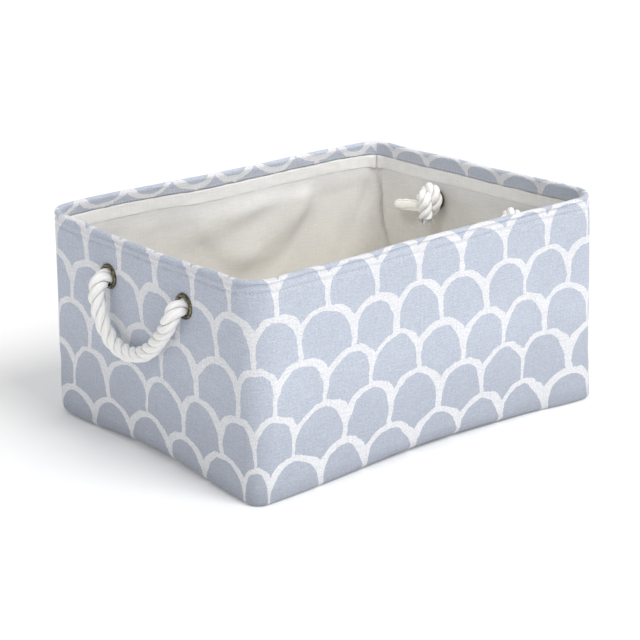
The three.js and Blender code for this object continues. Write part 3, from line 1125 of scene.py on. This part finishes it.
def stitch_row(name, height, inset_at, radius, bulge):
    """A closed capsule of thread for each stitch along the walls at that height. bulge is 1 for
    stitches that stand out of the bin and -1 for ones that stand into it."""
    count = int(round(AROUND / STITCH_PITCH))
    fine = Walk(1.0 * MM, 24)
    fu = np.append(fine.u, fine.around)
    spots = fine.points(height + hem_rise(fine.u), inset_at(fine))
    spots = np.concatenate([spots, spots[:1]])
    angles = 2 * math.pi * np.arange(STITCH_SIDES) / STITCH_SIDES
    sides = np.arange(STITCH_SIDES)
    arch = np.sin(np.linspace(0, math.pi, STITCH_RINGS))
    points, faces, uv = [], [], []
    draw = np.random.default_rng(77)
    for n in range(count):
        start = (n + 0.12 + 0.08 * draw.random()) * AROUND / count
        run = np.linspace(start, start + STITCH_LENGTH * draw.uniform(0.9, 1.05), STITCH_RINGS)
        line = np.stack([np.interp(run, fu, spots[:, k]) for k in range(3)], -1)
        line[:, 2] += draw.uniform(-0.12, 0.12) * MM
        along = line[-1] - line[0]
        out = np.cross(along / np.linalg.norm(along), UPWARDS) * bulge
        faces += closed_tube(STITCH_RINGS, STITCH_SIDES, len(points))
        for r in range(STITCH_RINGS):
            size = radius * (0.35 + 0.65 * arch[r] ** 0.5)
            centre = line[r] + out * (0.28 * MM * arch[r] - 0.18 * MM)
            points += [centre + size * (math.cos(a) * out + math.sin(a) * UPWARDS) for a in angles]
        uv += tube_uv(sides, sides + 1, run, 0)
    piece = mesh_piece(name, points, faces, thread, uv)
    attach(piece, "rim")
    return piece


outside_row = stitch_row("rim_stitches_outside", STITCHES,
                         lambda w: wall_inset(w.u, STITCHES, w.middle()), 0.42 * MM, 1)
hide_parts("rim_stitching")
stitch_row("rim_stitches_inside", FACING_EDGE + 1.4 * MM, lambda w: 4.95 * MM + 0 * w.u,
           0.33 * MM, -1)

# ---- Eyelets and washers, turned about the axis of each hole

brass = antique_brass()


def turned(name, profile, centre, outward, sides=64):
    """A closed ring from a profile of (radius, distance out from the wall)."""
    angles = np.arange(sides) * 2 * math.pi / sides
    rings = np.array([np.stack([np.full(sides, centre[0] + outward * out),
                                centre[1] + radius * np.cos(angles),
                                centre[2] + radius * np.sin(angles)], -1)
                      for radius, out in profile * MM])
    faces = loop_faces(len(rings), sides)
    return mesh_piece(name, rings.reshape(-1, 3), faces if outward > 0 else faces[:, ::-1], brass)


def rounded(points):
    """The closed profile with its corners cut smooth."""
    p = np.array(points, float)
    for _ in range(2):
        after = np.roll(p, -1, 0)
        p = np.stack([0.75 * p + 0.25 * after, 0.25 * p + 0.75 * after], 1).reshape(-1, 2)
    return p


# In millimetres: distance from the hole's middle, and out from the wall
EYELET_PROFILE = rounded([(7.7, -4.0), (7.7, 0.6), (8.2, 1.7), (9.4, 2.15), (10.7, 1.9), (11.4, 1.0),
                          (11.5, 0.1), (11.2, -0.2), (8.5, -0.2), (8.4, -4.0)])
WASHER_PROFILE = rounded([(8.6, -5.6), (8.6, -4.2), (9.4, -4.1), (10.9, -4.1), (11.5, -4.3),
                          (11.5, -5.0), (11.0, -5.6), (9.6, -5.9)])


# ---- Rope ends inside: a knot against the washer, a cut tail and a frayed end

# The knot's route for an eyelet at the right end, in millimetres: distance in from the wall,
# distance along the wall from the eyelet's middle towards the back, and height.
KNOT = [(1, 0, 154), (7.5, 0, 155), (13, 4.5, 159), (17, -3, 167), (18, -10.5, 166), (18, -13.5, 158.5),
        (17.5, -10, 150), (17, -2, 144.5), (17.5, 5, 146.5), (20.5, 3.5, 154.5), (25, -4.5, 161.5),
        (28, -9.5, 158), (28, -9.5, 149.5), (27, -9, 140.5)]
TAIL = [(19, 0, 149), (19.5, 9, 147.5), (20, 20, 146), (20.5, 31, 144.5), (20.5, 41, 143.5)]
FRONT_SAG, FRONT_SHIFT = 2.5, 1.8  # the front knots hang lower and further forward, in mm
TAIL_SIDES = 36
FIBRES, FIBRE_SIDES = 150, 5  # in the frayed end of a rope
FIBRE_LENGTHS = (2.5 * MM, 7.5 * MM)
FIBRE_RADII = (0.18 * MM, 0.42 * MM)


def into_place(points, side, end):
    """From the knot's own directions to the bin's, at one of the four eyelets. The left end is the
    right one turned half round."""
    turn, corner = (1 if side == "right" else -1), (1 if end == "back" else -1)
    p = np.array(points, float)
    if end == "front":
        p[:, 2] -= FRONT_SAG * smooth(p[:, 0], 5, 18)
        p[:, 1] -= FRONT_SHIFT * smooth(p[:, 0], 5, 18)
    return np.stack([turn * (HALF_X - p[:, 0] * MM), corner * EYELET_Y + turn * p[:, 1] * MM,
                     p[:, 2] * MM], -1)


def tuft(name, root, down, seed):
    """Loose fibres fanning out from a cut rope end, each a thin closed tube."""
    draw = np.random.default_rng(seed)
    points, faces, uv = [], [], []
    down = down / np.linalg.norm(down)
    steps = np.linspace(0, 1, 6)
    angles = 2 * math.pi * np.arange(FIBRE_SIDES) / FIBRE_SIDES
    for n in range(FIBRES):
        away = draw.normal(size=3)
        away -= down * np.dot(away, down)
        away /= np.linalg.norm(away)
        spread = math.sqrt(draw.random())
        start = root + away * spread * 0.85 * ROPE_R
        length = draw.uniform(*FIBRE_LENGTHS)
        lean = down + away * draw.uniform(0.1, 0.55) * spread + draw.normal(size=3) * 0.12
        lean /= np.linalg.norm(lean)
        curl = draw.normal(size=3) * 0.35
        size = draw.uniform(*FIBRE_RADII)
        line = np.array([start - down * 3 * MM * (1 - t) ** 3 + (lean + curl * t * t) * length * t
                         for t in steps])
        across, up, _ = carried_frames(line)
        faces += closed_tube(len(steps), FIBRE_SIDES, len(points))
        for r, t in enumerate(steps):
            width = size * (1 - 0.75 * t ** 2)
            points += [line[r] + width * (math.cos(a) * across[r] + math.sin(a) * up[r])
                       for a in angles]
        uv += tube_uv([n] * FIBRE_SIDES, [n + 0.1] * FIBRE_SIDES, 0.001 * np.arange(len(steps)), n)
    return mesh_piece(name, points, faces, cotton, uv)


def flat_tail(name, route, seed):
    """The rope's pressed, bound end: an oval strip, grooved along its length, cut off square."""
    line, along = spline(route, 1.2 * MM)
    tangent = carried_frames(line)[2]
    angle = np.arange(TAIL_SIDES) * 2 * math.pi / TAIL_SIDES
    share = along / along[-1]
    groove = ripple(seed, 14 * MM)
    rings = []
    for i, point in enumerate(line):
        high = UPWARDS - tangent[i] * np.dot(UPWARDS, tangent[i])
        high /= np.linalg.norm(high)
        wide = np.cross(tangent[i], high)
        tall = (6.4 - 1.0 * share[i] + 0.4 * groove(along[i])) * MM
        thick = (5.2 - 1.4 * share[i]) * MM
        split = np.exp(-((np.sin(angle) + 0.25 + 0.6 * share[i]) / 0.13) ** 2) * (1 - 0.7 * share[i])
        lines = 1 + 0.05 * np.sin(angle * 11 + 3 * groove(along[i], 0.2)) - 0.34 * split
        end = 1 - 0.12 * smooth(share[i], 0.93, 1.0)
        rings.append(point + (np.sin(angle) * tall * lines * end)[:, None] * high
                     + (np.cos(angle) * thick * lines * end)[:, None] * wide)
    lefts = 3 * np.arange(TAIL_SIDES) / TAIL_SIDES
    uv = tube_uv(lefts, lefts + 3 / TAIL_SIDES, along, 0.5)
    return mesh_piece(name, np.concatenate(rings), closed_tube(len(line), TAIL_SIDES), tail_cotton_painted_lighter, uv)


for side in ("left", "right"):
    outward = 1 if side == "right" else -1
    for n, end in enumerate(("back", "front")):
        where = f"{side}_{end}"
        seed = 100 + 10 * n + (5 if side == "left" else 0)
        corner = 1 if end == "back" else -1
        centre = (outward * HALF_X, corner * EYELET_Y, EYELET_Z)
        ring = turned(f"eyelet_ring_{where}", EYELET_PROFILE, centre, outward)
        washer = turned(f"washer_ring_{where}", WASHER_PROFILE, centre, outward)
        line, along = spline(into_place(KNOT, side, end), 1.1 * MM)
        squeeze = 1.0 - 0.06 * np.sin(np.linspace(0, math.pi, len(line)))
        knot = rope_piece(f"rope_knot_{where}", line, along, seed, squeeze, KNOT_LAY)
        tail = flat_tail(f"rope_tail_{where}", into_place(TAIL, side, end), seed + 1)
        frayed = tuft(f"rope_fray_{where}", line[-1], line[-1] - line[-6], seed + 2)
        for piece, slot in ((ring, "eyelet"), (washer, "eyelet"), (knot, "rope"), (tail, "rope"),
                            (frayed, "rope")):
            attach(piece, "rim")
        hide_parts(f"eyelet_{where}")
        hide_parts(f"washer_{where}")
        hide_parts(f"rope_end_{where}")


WIRE_SIDES = 10


def wire_ring():
    """The steel wire inside the rolled rim."""
    around = Walk(6 * MM, 14)
    rings = []
    for angle in np.arange(WIRE_SIDES) * 2 * math.pi / WIRE_SIDES:
        z = TOP - ROLL - 0.5 * MM + rim_rise(around.u) + WIRE_R * math.sin(angle)
        rings.append(around.points(z, ROLL + 0.3 * MM + WIRE_R * math.cos(angle)))
    points = np.array(rings).transpose(1, 0, 2).reshape(-1, 3)
    ring = mesh_piece("rim_wire_ring", points, loop_faces(around.count, WIRE_SIDES), steel_wire())
    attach(ring, "rim")
    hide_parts("rim_wire")


wire_ring()

# ---- Floor, light and background

FLOOR_REACH = 30
FLOOR_GLOW = 0.09
SKY = 0.605
KEY_FROM = (0.22, -0.80, 0.95)
KEY_STRENGTH, KEY_SPREAD = 1.76, math.radians(32)
FILL_AT = (-0.17, -0.12, 0.50)  # over the bin, to light the inside of its right wall
FILL_TO = (0.18, 0.07, 0.14)
FILL_SIZE = (0.20, 0.14)
FILL_POWER, FILL_SPREAD = 0.075, math.radians(58)


def lamp(name, kind, power, at, to):
    """A light at one place, shining towards another."""
    light = bpy.data.lights.new(name, kind)
    light.energy = power
    holder = bpy.data.objects.new(name, light)
    bpy.context.collection.objects.link(holder)
    holder.location = at
    holder.rotation_euler = (Vector(to) - Vector(at)).to_track_quat("-Z", "Y").to_euler()
    return light


def studio():
    corners = [(-1, -1), (1, -1), (1, 1), (-1, 1)]
    mesh = bpy.data.meshes.new("studio_floor")
    mesh.from_pydata([(x * FLOOR_REACH, y * FLOOR_REACH, 0) for x, y in corners], [], [(0, 1, 2, 3)])
    floor = bpy.data.objects.new("studio_floor", mesh)
    bpy.context.collection.objects.link(floor)
    paper = Finish("studio_paper", roughness=0.9, specular_ior_level=0.1, emission_strength=FLOOR_GLOW)
    x, y, _ = paper.space()
    grain = paper.noise(x * 40, y * 40, detail=2)
    paper.colour(paper.blend(grain, (0.93, 0.93, 0.93), (0.95, 0.95, 0.95)))
    paper.shader.inputs["Emission Color"].default_value = (1, 1, 1, 1)
    mesh.materials.append(paper.material)

    world = bpy.data.worlds.new("studio")
    world.use_nodes = True
    world.node_tree.nodes["Background"].inputs["Color"].default_value = (1, 1, 1, 1)
    world.node_tree.nodes["Background"].inputs["Strength"].default_value = SKY
    bpy.context.scene.world = world

    lamp("key", "SUN", KEY_STRENGTH, KEY_FROM, (0, 0, 0)).angle = KEY_SPREAD
    fill = lamp("fill", "AREA", FILL_POWER, FILL_AT, FILL_TO)
    fill.shape = "RECTANGLE"
    fill.size, fill.size_y = FILL_SIZE
    fill.spread = FILL_SPREAD
    bpy.context.scene.view_settings.view_transform = "Standard"


studio()
